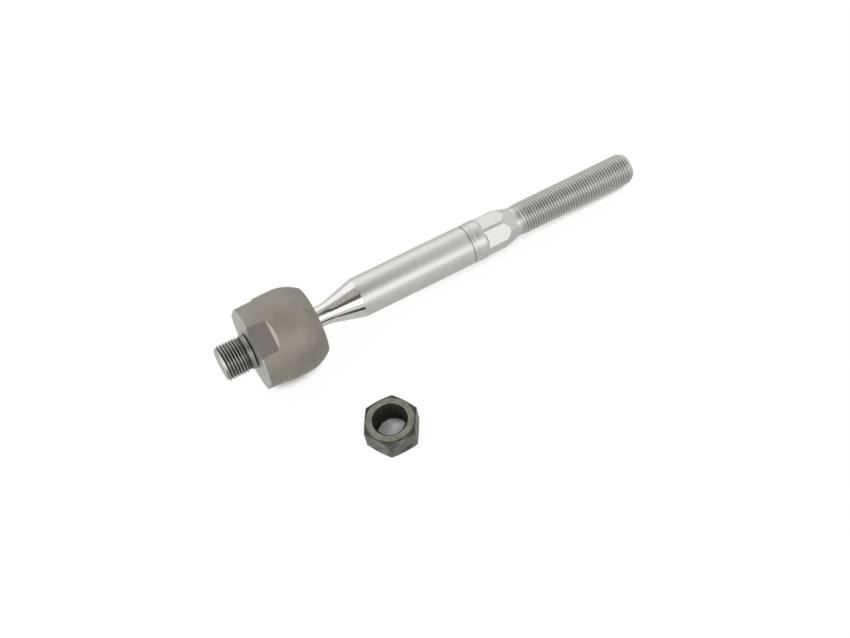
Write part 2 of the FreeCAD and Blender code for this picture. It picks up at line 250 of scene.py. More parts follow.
def turned(name, stations, sides):
    """A closed turned solid along X, with a ring of the given radius at each station."""
    bpy.ops.object.select_all(action="DESELECT")
    place, radius = stations[0]
    bpy.ops.mesh.primitive_circle_add(
        vertices=sides, radius=radius, fill_type="NGON", location=(place, 0, 0),
        rotation=(0, math.pi / 2, 0)
    )
    piece = bpy.context.object
    piece.name = name
    settle(piece)
    bpy.ops.object.mode_set(mode="EDIT")
    bpy.ops.mesh.select_all(action="SELECT")
    for (place, radius), (next_place, next_radius) in zip(stations, stations[1:]):
        bpy.ops.mesh.extrude_region_move(
            TRANSFORM_OT_translate={"value": (next_place - place, 0, 0)}
        )
        growth = next_radius / radius
        bpy.ops.transform.resize(value=(1, growth, growth), center_override=(next_place, 0, 0))
    bpy.ops.mesh.select_all(action="SELECT")
    bpy.ops.mesh.normals_make_consistent(inside=False)
    bpy.ops.object.mode_set(mode="OBJECT")
    return piece


def cut(piece, *cutters):
    """Cut each cutter's form out of the piece."""
    for cutter in cutters:
        pick(piece)
        bpy.ops.object.modifier_add(type="BOOLEAN")
        modifier = piece.modifiers[-1]
        modifier.operation = "DIFFERENCE"
        modifier.solver = "EXACT"
        modifier.object = cutter
        bpy.ops.object.modifier_apply(modifier=modifier.name)
        bpy.data.objects.remove(cutter)


def six_sided_ring(middle, outer, depth, corner, hole_depth, roll=0.0):
    """A thick ring round X with a six-sided hole, which cuts six sides on a blank."""
    shapes = []
    for sides, radius, length in ((RING_SIDES, outer, depth), (6, corner, hole_depth)):
        bpy.ops.object.select_all(action="DESELECT")
        bpy.ops.mesh.primitive_cylinder_add(
            vertices=sides, radius=radius, depth=length, location=(middle, 0, 0),
            rotation=(0, math.pi / 2, 0)
        )
        shapes.append(bpy.context.object)
        settle(shapes[-1])
    ring, hole = shapes
    hole.matrix_world = Matrix.Rotation(roll, 4, "X")
    settle(hole)
    cut(ring, hole)
    return ring


def smooth(piece, degrees):
    """Smooth shading that keeps edges sharper than this."""
    pick(piece)
    bpy.ops.object.shade_smooth_by_angle(angle=math.radians(degrees))


def thread_outline(crest, depth, pitch):
    """One turn of a rolled thread's outline: root, flank, crest, flank and root."""
    root = crest - depth
    root_half = pitch * 0.09
    crest_half = pitch * 0.07
    soft = pitch * 0.035
    half = [
        (0.0, root),
        (root_half, root + soft * 0.3),
        (root_half + soft, root + soft),
        (pitch / 2 - crest_half - soft, crest - soft * 1.6),
        (pitch / 2 - crest_half, crest - soft * 0.3),
        (pitch / 2, crest),
    ]
    return half + [(pitch - place, radius) for place, radius in half[-2::-1]]


def run_out(radius, blank, away, length):
    """Fade a rolled thread into its plain blank near the place where rolling stopped."""
    return blank + (radius - blank) * min(1.0, max(0.0, away / length))


def threaded(name, crest, depth, pitch, start, end, form, inside=False):
    """A right-hand thread along X, with its ends formed and then cut square."""
    outline = thread_outline(crest, depth, pitch)
    bpy.ops.object.select_all(action="DESELECT")
    bpy.ops.mesh.primitive_plane_add(size=pitch, location=(0, 0, 0))
    piece = bpy.context.object
    piece.name = name
    bpy.ops.object.mode_set(mode="EDIT")
    bpy.ops.mesh.select_all(action="SELECT")
    bpy.ops.mesh.merge(type="CENTER")
    bpy.ops.transform.translate(value=(start - 2 * pitch, outline[0][1], 0))
    for (place, radius), (next_place, next_radius) in zip(outline, outline[1:]):
        step = (next_place - place, next_radius - radius, 0)
        bpy.ops.mesh.extrude_region_move(TRANSFORM_OT_translate={"value": step})
    bpy.ops.object.mode_set(mode="OBJECT")
    bpy.ops.object.modifier_add(type="SCREW")
    modifier = piece.modifiers[-1]
    modifier.axis = "X"
    modifier.angle = math.tau
    modifier.screw_offset = pitch
    modifier.iterations = math.ceil((end - start) / pitch) + 3
    modifier.steps = THREAD_STEPS
    modifier.render_steps = THREAD_STEPS
    modifier.use_smooth_shade = True
    bpy.ops.object.modifier_apply(modifier=modifier.name)
    for vertex in piece.data.vertices:
        place, across, up = vertex.co
        radius = math.hypot(across, up)
        kept = form(place, radius)
        vertex.co = (place, across * kept / radius, up * kept / radius)
    pick(piece)
    bpy.ops.object.mode_set(mode="EDIT")
    bpy.ops.mesh.select_all(action="SELECT")
    bpy.ops.mesh.remove_doubles(threshold=1e-6)
    for place, side in ((start, -1), (end, 1)):
        bpy.ops.mesh.select_all(action="SELECT")
        bpy.ops.mesh.bisect(
            plane_co=(place, 0, 0), plane_no=(side, 0, 0), threshold=1e-7, clear_outer=True,
            use_fill=not inside
        )
    bpy.ops.mesh.select_all(action="SELECT")
    bpy.ops.mesh.normals_make_consistent(inside=inside)
    bpy.ops.object.mode_set(mode="OBJECT")
    return piece


def joined(name, *parts):
    """Several shells as one piece."""
    pick(*reversed(parts))
    bpy.ops.object.join()
    piece = bpy.context.object
    piece.name = name
    piece.data.name = name
    return piece


def node(tree, kind, links=(), **settings):
    """Add a shader node with its settings, and link what feeds it.

    in_NAME sets an input, and stops sets a ramp's places and colours.
    """
    made = tree.nodes.new(kind)
    for key, setting in settings.items():
        if key.startswith("in_"):
            made.inputs[key[3:].replace("_", " ")].default_value = setting
        elif key == "stops":
            for element, (position, colour) in zip(made.color_ramp.elements, setting):
                element.position = position
                element.color = colour
        else:
            setattr(made, key, setting)
    for socket, source in dict(links).items():
        tree.links.new(source, made.inputs[socket])
    return made


def new_material(name):
    """An empty material with its output node."""
    material = bpy.data.materials.new(name)
    material.use_nodes = True
    material.node_tree.nodes.clear()
    return material, material.node_tree


def shade(colour, factor):
    """A darker or lighter colour of the same hue."""
    return tuple(min(1.0, channel * factor) for channel in colour[:3]) + (1.0,)


def steel(name, colour, roughness, spread, grain_mm, bump, along=1.0, mottle=0.12,
          metallic=1.0, speck=0.86):
    """Steel with a fine grain, faint clouds and a surface that isn't quite even.

    along squeezes the grain along X, which gives rings. The real grain is under 0.2 mm and
    a pixel is about 0.5 mm, so grain_mm is as coarse as it needs to be to show.
    """
    material, tree = new_material(name)
    place = node(tree, "ShaderNodeTexCoord")
    stretch = node(tree, "ShaderNodeMapping", {"Vector": place.outputs["Object"]})
    stretch.inputs["Scale"].default_value = (along, 1.0, 1.0)
    grain = node(
        tree, "ShaderNodeTexNoise", {"Vector": stretch.outputs["Vector"]},
        in_Scale=1 / (grain_mm * MM), in_Detail=3.0, in_Roughness=0.6
    )
    cloud = node(
        tree, "ShaderNodeTexNoise", {"Vector": place.outputs["Object"]},
        in_Scale=1 / CLOUD_SIZE, in_Detail=4.0, in_Roughness=0.55
    )
    tone = node(tree, "ShaderNodeValToRGB", {"Fac": cloud.outputs["Fac"]},
                stops=((0.3, shade(colour, 1 - mottle)), (0.7, shade(colour, 1 + mottle / 2))))
    grit = node(tree, "ShaderNodeValToRGB", {"Fac": grain.outputs["Fac"]},
                stops=((0.3, (speck, speck, speck, 1)), (0.7, WHITE)))
    mixed = node(tree, "ShaderNodeMix", {"A": tone.outputs["Color"], "B": grit.outputs["Color"]},
                 **MULTIPLY)
    gloss = node(tree, "ShaderNodeMapRange", {"Value": cloud.outputs["Fac"]},
                 in_To_Min=roughness - spread, in_To_Max=roughness + spread)
    relief = node(tree, "ShaderNodeBump", {"Height": grain.outputs["Fac"]},
                  in_Strength=bump, in_Distance=grain_mm * MM * 0.25)
    shader = node(tree, "ShaderNodeBsdfPrincipled", {
        "Base Color": mixed.outputs["Result"],
        "Roughness": gloss.outputs["Result"],
        "Normal": relief.outputs["Normal"],
    }, in_Metallic=metallic)
    node(tree, "ShaderNodeOutputMaterial", {"Surface": shader.outputs["BSDF"]})
    return material


def painted_groove_shade(material, root, crest, darkness):
    """Darken a thread or a ring towards its root: painted shade in the grooves."""
    tree = material.node_tree
    shader = tree.nodes["Principled BSDF"]
    steel_tone = shader.inputs["Base Color"].links[0].from_socket
    place = node(tree, "ShaderNodeTexCoord")
    away = node(tree, "ShaderNodeVectorMath", {0: place.outputs["Object"]},
                operation="SUBTRACT")
    away.inputs[1].default_value = BALL_MIDDLE
    around = node(tree, "ShaderNodeVectorMath", {0: away.outputs["Vector"]},
                  operation="CROSS_PRODUCT")
    around.inputs[1].default_value = ROD_LINE
    radius = node(tree, "ShaderNodeVectorMath", {0: around.outputs["Vector"]},
                  operation="LENGTH")
    height = node(tree, "ShaderNodeMapRange", {"Value": radius.outputs["Value"]},
                  in_From_Min=root, in_From_Max=crest)
    # Painted shade: the colour gets darker towards the root of each groove.
    groove_shade = node(tree, "ShaderNodeValToRGB", {"Fac": height.outputs["Result"]},
               stops=((0.2, shade((1, 1, 0.97), 1 - darkness)), (0.8, WHITE)))
    mixed = node(tree, "ShaderNodeMix", {"A": steel_tone, "B": groove_shade.outputs["Color"]}, **MULTIPLY)
    tree.links.new(mixed.outputs["Result"], shader.inputs["Base Color"])
    return material


def acetal(name, colour):
    """Moulded natural acetal: milky, with a soft sheen and a fine mould grain.

    The real grain is under 0.1 mm. It is drawn at 0.6 mm, as coarse as it needs to show.
    """
    material, tree = new_material(name)
    place = node(tree, "ShaderNodeTexCoord")
    grain = node(
        tree, "ShaderNodeTexNoise", {"Vector": place.outputs["Object"]},
        in_Scale=1 / (0.6 * MM), in_Detail=2.0
    )
    tone = node(tree, "ShaderNodeValToRGB", {"Fac": grain.outputs["Fac"]},
                stops=((0.3, shade(colour, 0.93)), (0.7, colour)))
    relief = node(tree, "ShaderNodeBump", {"Height": grain.outputs["Fac"]},
                  in_Strength=0.15, in_Distance=0.1 * MM)
    shader = node(tree, "ShaderNodeBsdfPrincipled", {
        "Base Color": tone.outputs["Color"], "Normal": relief.outputs["Normal"],
    }, in_Roughness=0.42, in_IOR=1.48)
    node(tree, "ShaderNodeOutputMaterial", {"Surface": shader.outputs["BSDF"]})
    return material


def black_oxide(name, colour, dark, light, roughness):
    """Oiled black oxide, rubbed to lighter steel in patches of about 4 mm.

    The real grain is under 0.1 mm. It is drawn at 0.5 mm, as coarse as it needs to show.
    """
    material, tree = new_material(name)
    place = node(tree, "ShaderNodeTexCoord")
    patch = node(
        tree, "ShaderNodeTexNoise", {"Vector": place.outputs["Object"]},
        in_Scale=1 / (4 * MM), in_Detail=6.0, in_Roughness=0.7
    )
    grain = node(
        tree, "ShaderNodeTexNoise", {"Vector": place.outputs["Object"]},
        in_Scale=1 / (0.5 * MM), in_Detail=3.0
    )
    tone = node(tree, "ShaderNodeValToRGB", {"Fac": patch.outputs["Fac"]},
                stops=((0.35, shade(colour, dark)), (0.65, shade(colour, light))))
    gloss = node(tree, "ShaderNodeMapRange", {"Value": patch.outputs["Fac"]},
                 in_To_Min=roughness + 0.1, in_To_Max=roughness - 0.1)
    relief = node(tree, "ShaderNodeBump", {"Height": grain.outputs["Fac"]},
                  in_Strength=0.2, in_Distance=0.08 * MM)
    shader = node(tree, "ShaderNodeBsdfPrincipled", {
        "Base Color": tone.outputs["Color"],
        "Roughness": gloss.outputs["Result"],
        "Normal": relief.outputs["Normal"],
    }, in_Metallic=0.9)
    node(tree, "ShaderNodeOutputMaterial", {"Surface": shader.outputs["BSDF"]})
    return material


def finish_by_place(piece, finishes, choose):
    """Give each face the finish that its middle and normal ask for."""
    piece.data.materials.clear()
    for finish in finishes:
        piece.data.materials.append(finish)
    for face in piece.data.polygons:
        face.material_index = finishes.index(choose(face.center, face.normal))


def socket_stations(sizes):
    """Outline of the socket from the stud's relief round the outside into the bore."""
    face = -sizes.face_back
    ring_front = face - sizes.groove_width
    ring_back = ring_front - sizes.ring_width
    line_front = ring_back - sizes.line_groove_width
    line_back = line_front - sizes.line_ring_width
    thread_end = line_back - sizes.relief_width
    line_floor = STUD_RADIUS - sizes.line_groove_depth
    soft = 0.12 * MM
    edge = sizes.front_edge
    shoulder_at = sizes.mouth_front - sizes.nose_drop / math.tan(sizes.nose_angle)
    belly = (-sizes.belly_back, sizes.belly_radius)
    shoulder = (shoulder_at, sizes.belly_radius)
    nose = (sizes.mouth_front, sizes.belly_radius - sizes.nose_drop)
    stations = [
        (thread_end, sizes.stud_relief),
        (line_back, sizes.stud_relief),
        (line_back, STUD_RADIUS - soft),
        (line_back + soft, STUD_RADIUS),
        (line_front - soft, STUD_RADIUS),
        (line_front, line_floor),
        (ring_back, line_floor),
        (ring_back + soft, STUD_RADIUS),
        (ring_front - soft, STUD_RADIUS),
        (ring_front, STUD_RADIUS - soft),
        (ring_front, sizes.stud_relief),
        (face + sizes.recess_depth, sizes.stud_relief),
        (face + sizes.recess_depth, sizes.recess_radius),
        (face, sizes.recess_radius),
    ]
    stations += blend(stations[-1], (face, sizes.front_radius), belly, edge, 6)
    stations += [belly]
    stations += blend(belly, shoulder, nose, sizes.shoulder_radius, 24)
    stations += blend(shoulder, nose, (sizes.mouth_front, sizes.mouth_radius),
                      sizes.nose_edge, 6)
    stations += blend(nose, (sizes.mouth_front, sizes.mouth_radius),
                      (sizes.lip_place, sizes.lip_radius), 0.3 * MM, 3)
    stations += [
        (sizes.lip_place, sizes.lip_radius),
        (sizes.lip_place, sizes.bore_radius),
        (-sizes.bore_radius, sizes.bore_radius),
        (-sizes.bore_radius, 5 * MM),
    ]
    return stations


class TIEROD_OT_socket(bpy.types.Operator):
    """Turn the socket, mill its flats and roll its stud's thread"""

    bl_idname = "tierod.socket"
    bl_label = "Socket"

    def execute(self, context):
        sizes = context.scene.tierod_socket
        colours = context.scene.tierod_colours
        stations = socket_stations(sizes)
        forging = turned("socket_forging", stations, TURNED_SIDES)
        for quarter in range(4):
            cut(forging, self.cutter(sizes, quarter * math.pi / 2))
        smooth(forging, SMOOTH_TURNED)
        thread_start = -sizes.face_back - sizes.stud_length
        tip_radius = STUD_RADIUS - sizes.stud_chamfer
        thread_end = stations[0][0]

        def form(place, radius):
            faded = run_out(radius, sizes.stud_relief, thread_end - place, 1.5 * MM)
            return min(faded, tip_radius + place - thread_start)

        stud = threaded("stud_thread", STUD_RADIUS, THREAD_DEPTH,
                        context.scene.tierod_rod.pitch, thread_start, thread_end, form)
        smooth(stud, SMOOTH_THREAD)
        # Matt and cloudy: a blasted skin scatters the light and takes no clear reflection.
        blasted = steel("Shot-blasted forged steel", colours.forging, 0.6, 0.05, 0.45, 0.25,
                        metallic=0.85, mottle=0.12, speck=0.92)
        # Smoother and a little darker, so that the wrench flats read against the skin.
        milled = steel("Milled steel", colours.milled, 0.5, 0.04, 0.5, 0.1, mottle=0.05,
                       speck=0.95)
        # Even and pale: the turned rack face is the lightest part of the socket.
        faced = steel("Turned steel", colours.rolled, 0.48, 0.04, 0.4, 0.0, mottle=0.04,
                      speck=1.0)
        # Bright crests over roots darkened by painted shade: this makes the turns countable.
        rolled = steel("Rolled thread of the stud", colours.rolled, 0.3, 0.04, 0.5, 0.0,
                       mottle=0.05, speck=1.0)
        painted_groove_shade(rolled, STUD_RADIUS - THREAD_DEPTH, STUD_RADIUS, 0.8)
        # Glossier than the flats, so that the ramp at the end of each catches the lamp, and a little lighter in
        # colour as a painted highlight.
        fresh_cut_highlight = steel("Fresh cut steel with painted highlight", colours.fresh_cut_highlight, 0.4, 0.04, 0.5, 0.05, mottle=0.04,
                      speck=0.97)
        # The same turned steel with painted shade in its grooves, which keeps the narrow rings apart.
        ringed = steel("Turned steel with painted groove shade", colours.rolled, 0.4, 0.04, 0.4, 0.0, mottle=0.04,
                       speck=1.0)
        painted_groove_shade(ringed, sizes.stud_relief, STUD_RADIUS, 0.85)
        turned_end = -sizes.face_back + 0.5 * MM
        ring_reach = STUD_RADIUS + 0.05 * MM
        cut_end = -8.5 * MM
        cut_reach = (sizes.front_radius - 1.5 * MM) * 0.8

        def choose(middle, normal):
            spot = math.hypot(middle.y, middle.z)
            if middle.x < turned_end:
                return ringed if spot < ring_reach else faced
            sideways = math.hypot(normal.y, normal.z) > 0.1
            if middle.x < cut_end and spot > cut_reach and sideways:
                lean = math.atan2(normal.z, normal.y)
                if abs(math.remainder(lean, math.pi / 2)) < 1e-3:
                    return fresh_cut_highlight if abs(normal.x) > SLANTED else milled
            return blasted

        finish_by_place(forging, [blasted, milled, faced, ringed, fresh_cut_highlight], choose)
        chamfer_end = thread_start + sizes.stud_chamfer

        def choose_stud(middle, normal):
            limit = tip_radius + middle.x - thread_start - CHAMFER_SLACK
            chamfered = math.hypot(middle.y, middle.z) > limit and middle.x < chamfer_end
            return faced if chamfered or abs(normal.x) > SQUARE else rolled

        finish_by_place(stud, [rolled, faced], choose_stud)
        piece = joined("socket", forging, stud)
        lay_down(piece, sizes.flat_roll)
        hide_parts("socket_housing")
        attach(piece, "housing")
        return {"FINISHED"}

    def cutter(self, sizes, turn):
        """A block that mills one flat and ends in a ramp."""
        front = -sizes.face_back - 4 * MM
        flat_end = -sizes.face_back + sizes.flat_length
        rise = sizes.belly_radius + 1 * MM - sizes.flat_distance
        back = flat_end + rise / math.tan(sizes.flat_ramp)
        bpy.ops.object.select_all(action="DESELECT")
        bpy.ops.mesh.primitive_cube_add(
            size=1, location=((front + back) / 2, 0, sizes.flat_distance + rise / 2),
            scale=(back - front, sizes.belly_radius * 2, rise)
        )
        block = bpy.context.object
        settle(block)
        for vertex in block.data.vertices:
            if vertex.co.z < sizes.flat_distance + rise / 2:
                vertex.co.x = min(vertex.co.x, flat_end)
                vertex.co.z += math.tan(sizes.flat_draft) * (vertex.co.x + sizes.face_back)
        block.matrix_world = Matrix.Rotation(turn, 4, "X")
        settle(block)
        return block


class TIEROD_OT_seat(bpy.types.Operator):
    """Give the hidden plastic seat its finish"""

    bl_idname = "tierod.seat"
    bl_label = "Ball seat"

    def execute(self, context):
        seat = frame["nodes"]["ball_seat"]
        seat.data.materials.clear()
        # Milky with a soft sheen, which sets the plastic apart from the steel round it.
        seat.data.materials.append(acetal("Natural acetal", context.scene.tierod_colours.acetal))
        return {"FINISHED"}


def rod_places(sizes):
    """Where the rod's stations stand, from the neck to the tip."""
    places = {}
    rise = sizes.body_radius - sizes.neck_radius
    places["taper"] = sizes.body_start - rise / math.tan(sizes.taper_angle)
    places["groove_end"] = sizes.groove_at + sizes.groove_width
    places["ridge_end"] = places["groove_end"] + sizes.ridge_width
    places["collar"] = places["ridge_end"] + sizes.line_width
    places["collar_end"] = places["collar"] + sizes.collar_width
    places["hex_end"] = places["collar_end"] + sizes.hex_length
    drop = sizes.hex_corner - sizes.relief_radius
    places["cone_end"] = places["hex_end"] + drop / math.tan(sizes.hex_cone)
    places["thread"] = places["cone_end"] + sizes.relief_width
    places["tip"] = places["thread"] + sizes.thread_length
    return places


class TIEROD_OT_rod(bpy.types.Operator):
    """Turn the rod with its ball, mill the hexagon and roll the thread"""

    bl_idname = "tierod.rod"
    bl_label = "Rod"

    def execute(self, context):
        sizes = context.scene.tierod_rod
        colours = context.scene.tierod_colours
        places = rod_places(sizes)
        shaft = turned("rod_shaft", self.stations(sizes, places), TURNED_SIDES)
        smooth(shaft, SMOOTH_TURNED)
        hexagon = turned("rod_hexagon", self.hexagon_stations(sizes, places), TURNED_SIDES)
        cut(hexagon, self.hexagon_cutter(sizes, places))
        smooth(hexagon, SMOOTH_TURNED)
        tip = places["tip"]

        def form(place, radius):
            faded = run_out(radius, sizes.relief_radius, place - places["thread"], 4 * MM)
            return min(faded, sizes.tip_radius + (tip - place) * math.tan(sizes.tip_angle))

        thread = threaded("rod_thread", ROD_THREAD_RADIUS, THREAD_DEPTH, sizes.pitch,
                          places["thread"], tip, form)
        smooth(thread, SMOOTH_THREAD)
        # A mirror: the neck and the taper show the roof, the gaps and the lamps as bands.
        mirror = steel("Polished steel", colours.polished, 0.07, 0.02, 0.8, 0.02, mottle=0.03)
        # Fine rings round the body stretch the highlight into one long satin stripe.
        ground = steel("Fine ground steel", colours.satin, 0.36, 0.03, 0.5, 0.03, along=6.0,
                       mottle=0.03, speck=0.97)
        # The same steel without rings, so that the hexagon's flats look even.
        formed = steel("Cold formed steel", colours.satin, 0.36, 0.04, 0.6, 0.05, mottle=0.05,
                       speck=0.97)
        # Light painted shade in the roots: the turns show as fine lines and stay as pale as the body.
        rolled = steel("Rolled thread of the rod", colours.satin, 0.36, 0.04, 0.5, 0.0,
                       mottle=0.05, speck=1.0)
        painted_groove_shade(rolled, ROD_THREAD_RADIUS - THREAD_DEPTH, ROD_THREAD_RADIUS, 0.35)
        bright_end = sizes.body_start - 0.3 * MM

        def choose(middle, normal):
            if middle.x < bright_end:
                return mirror
            return ground if middle.x < places["ridge_end"] else formed

        finish_by_place(shaft, [mirror, ground, formed], choose)
        finish_by_place(hexagon, [formed], lambda middle, normal: formed)
        drop = ROD_THREAD_RADIUS - sizes.tip_radius
        chamfer_start = tip - drop / math.tan(sizes.tip_angle)

        def choose_thread(middle, normal):
            limit = sizes.tip_radius + (tip - middle.x) * math.tan(sizes.tip_angle)
            beyond = math.hypot(middle.y, middle.z) > limit - CHAMFER_SLACK
            chamfered = beyond and middle.x > chamfer_start
            return formed if chamfered or abs(normal.x) > SQUARE else rolled

        finish_by_place(thread, [rolled, formed], choose_thread)
        piece = joined("rod", shaft, hexagon, thread)
        lay_down(piece, sizes.hex_roll)
        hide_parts("tie_rod")
        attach(piece, "rod")
        return {"FINISHED"}

    def stations(self, sizes, places):
        """Outline of the rod from the ball to the collar's round end."""
        ball_end = math.asin(sizes.neck_radius / sizes.ball_radius)
        stations = arc((0, 0), sizes.ball_radius, math.radians(178), ball_end, 48)
        neck = (places["taper"], sizes.neck_radius)
        body = (sizes.body_start, sizes.body_radius)
        groove = (sizes.groove_at, sizes.body_radius)
        floor = sizes.body_radius - sizes.groove_depth
        line_floor = sizes.body_radius - sizes.line_depth
        quarter = sizes.groove_width / 4
        soft = 0.25 * MM
        stations += blend(stations[-1], neck, body, sizes.neck_blend, 10)
        stations += blend(neck, body, groove, sizes.body_blend, 6)
        stations += blend(body, groove, (groove[0] + quarter, floor), soft, 4)
        stations += [
            (groove[0] + quarter, floor),
            (places["groove_end"] - quarter, floor),
        ]
        ridge = (places["groove_end"], sizes.body_radius)
        ridge_end = (places["ridge_end"], sizes.body_radius)
        stations += blend(stations[-1], ridge, ridge_end, soft, 4)
        stations += blend(ridge, ridge_end, (places["ridge_end"] + soft, line_floor), soft / 2, 3)
        stations += [
            (places["ridge_end"] + soft, line_floor),
            (places["collar"] - soft, line_floor),
        ]
        collar = (places["collar"], sizes.collar_radius)
        collar_end = places["collar_end"]
        round_middle = (collar_end, sizes.collar_radius - sizes.collar_round)
        stations += blend(stations[-1], collar, (collar_end, sizes.collar_radius), soft, 4)
        stations += arc(round_middle, sizes.collar_round, math.pi / 2, 0, 10)
        return stations + [(collar_end + sizes.collar_round, sizes.relief_radius)]

    def hexagon_stations(self, sizes, places):
        """Outline of the hexagon's blank with its cone and the relief, up to the thread."""
        start = (places["collar_end"] + 0.2 * MM, sizes.hex_corner)
        hexagon_end = (places["hex_end"], sizes.hex_corner)
        cone_end = (places["cone_end"], sizes.relief_radius)
        thread = (places["thread"], sizes.relief_radius)
        stations = [start]
        stations += blend(start, hexagon_end, cone_end, 2.0 * MM, 5)
        stations += blend(hexagon_end, cone_end, thread, 2.0 * MM, 5)
        return stations + [thread]

    def hexagon_cutter(self, sizes, places):
        """The ring that cuts the hexagon, a little longer than the blank."""
        start = places["collar_end"] - 1 * MM
        end = places["thread"] + 1 * MM
        corner = sizes.hex_half / math.cos(math.pi / 6)
        depth = end - start
        return six_sided_ring((start + end) / 2, 16 * MM, depth, corner, 2 * depth, math.pi / 6)


class TIEROD_OT_nut(bpy.types.Operator):
    """Make the lock nut with its bevels and inner thread"""

    bl_idname = "tierod.nut"
    bl_label = "Lock nut"

    def execute(self, context):
        sizes = context.scene.tierod_nut
        colours = context.scene.tierod_colours
        pitch = context.scene.tierod_rod.pitch
        half = sizes.height / 2
        corner = sizes.half_width / math.cos(math.pi / 6)
        blank = corner + 0.7 * MM
        fall = (blank - sizes.face_radius) * math.tan(sizes.bevel_angle)
        block = turned("nut_block", [
            (-half, sizes.face_radius),
            (-half + fall, blank),
            (half - fall, blank),
            (half, sizes.face_radius),
        ], NUT_SIDES)
        ring = six_sided_ring(0, 20 * MM, sizes.height + 4 * MM, corner, sizes.height + 9 * MM)
        hole = turned("hole", [
            (-half - MM, sizes.sink_radius), (half + MM, sizes.sink_radius)
        ], THREAD_STEPS)
        cut(block, ring)
        self.soften(block, sizes)
        cut(block, hole)
        self.open_bore(block, sizes.sink_radius)

        def form(place, radius):
            return max(radius, NUT_BORE_RADIUS, sizes.sink_radius - (half - abs(place)))

        crest = NUT_BORE_RADIUS + NUT_THREAD_DEPTH
        thread = threaded("nut_thread", crest, NUT_THREAD_DEPTH, pitch, -half, half, form,
                          inside=True)
        self.close_ends(thread, half, sizes.sink_radius)
        piece = joined("lock_nut", block, thread)
        bpy.ops.object.mode_set(mode="EDIT")
        bpy.ops.mesh.select_all(action="SELECT")
        bpy.ops.mesh.remove_doubles(threshold=0.00002)
        bpy.ops.mesh.normals_make_consistent(inside=False)
        bpy.ops.object.mode_set(mode="OBJECT")
        smooth(piece, SMOOTH_NUT)
        # Dark with worn lighter patches, which make the sides look handled.
        oxide = black_oxide("Oiled black oxide", colours.oxide, 0.5, 1.9, 0.45)
        # The bearing face has rubbed on other steel, so it is the lightest side.
        worn = black_oxide("Black oxide rubbed on its bearing face", colours.rubbed, 0.65, 1.25,
                           0.42)
        # Painted shadow: the bevels are darker than the sides and frame the face.
        deep = black_oxide("Black oxide with painted shadow on the bevels", colours.oxide, 0.35, 0.9, 0.5)
        # Black oxide darkened to nearly black as painted shade, so that the bore reads as deep and its turns as
        # faint lines.
        tapped = black_oxide("Tapped bore, black oxide with painted shade", shade(colours.oxide, 0.16), 0.7,
                             1.3, 0.5)
        face_reach = half - 0.02 * MM

        def choose(middle, normal):
            spot = math.hypot(middle.y, middle.z)
            if spot < sizes.sink_radius + 0.05 * MM and abs(middle.x) < face_reach:
                return tapped
            if abs(middle.x) > face_reach:
                return worn
            # The bevels take the darker oxide, a painted shadow.
            return deep if abs(normal.x) > SLANTED else oxide

        finish_by_place(piece, [oxide, worn, tapped, deep], choose)
        stand = Matrix.Rotation(-math.pi / 2, 4, "Y")
        spin = Matrix.Rotation(sizes.turn, 4, "Z")
        piece.matrix_world = Matrix.Translation(NUT_MIDDLE) @ spin @ stand
        settle(piece)
        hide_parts("jam_nut")
        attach(piece, "housing")
        return {"FINISHED"}

    def close_ends(self, thread, half, radius):
        """Bring the thread's end rings onto the corners of the hole, so that the two join."""
        step = math.tau / THREAD_STEPS
        for vertex in thread.data.vertices:
            if abs(vertex.co.x) > half - 1e-7:
                lean = round(math.atan2(vertex.co.z, vertex.co.y) / step) * step
                vertex.co.y = radius * math.cos(lean)
                vertex.co.z = radius * math.sin(lean)

    def soften(self, block, sizes):
        """Round the upright edges between the six sides."""
        pick(block)
        bpy.ops.object.mode_set(mode="EDIT")
        bpy.ops.mesh.select_mode(type="EDGE")
        bpy.ops.mesh.select_all(action="DESELECT")
        bpy.ops.object.mode_set(mode="OBJECT")
        for edge in block.data.edges:
            first, last = (block.data.vertices[index].co for index in edge.vertices)
            upright = abs(first.x - last.x) > sizes.height / 2
            spot = math.hypot((first.y + last.y) / 2, (first.z + last.z) / 2)
            edge.select = upright and spot > sizes.half_width * 1.1
        bpy.ops.object.mode_set(mode="EDIT")
        bpy.ops.mesh.bevel(offset=sizes.side_round, segments=5, affect="EDGES")
        bpy.ops.mesh.select_mode(type="VERT")
        bpy.ops.object.mode_set(mode="OBJECT")

    def open_bore(self, block, radius):
        """Take the plain wall of the hole away, so that the thread can take its place."""
        pick(block)
        bpy.ops.object.mode_set(mode="EDIT")
        bpy.ops.mesh.select_mode(type="FACE")
        bpy.ops.mesh.select_all(action="DESELECT")
        bpy.ops.object.mode_set(mode="OBJECT")
        for face in block.data.polygons:
            spot = math.hypot(face.center.y, face.center.z)
            face.select = spot < radius + 0.1 * MM and abs(face.normal.x) < 0.5
        bpy.ops.object.mode_set(mode="EDIT")
        bpy.ops.mesh.delete(type="FACE")
        bpy.ops.mesh.select_mode(type="VERT")
        bpy.ops.object.mode_set(mode="OBJECT")


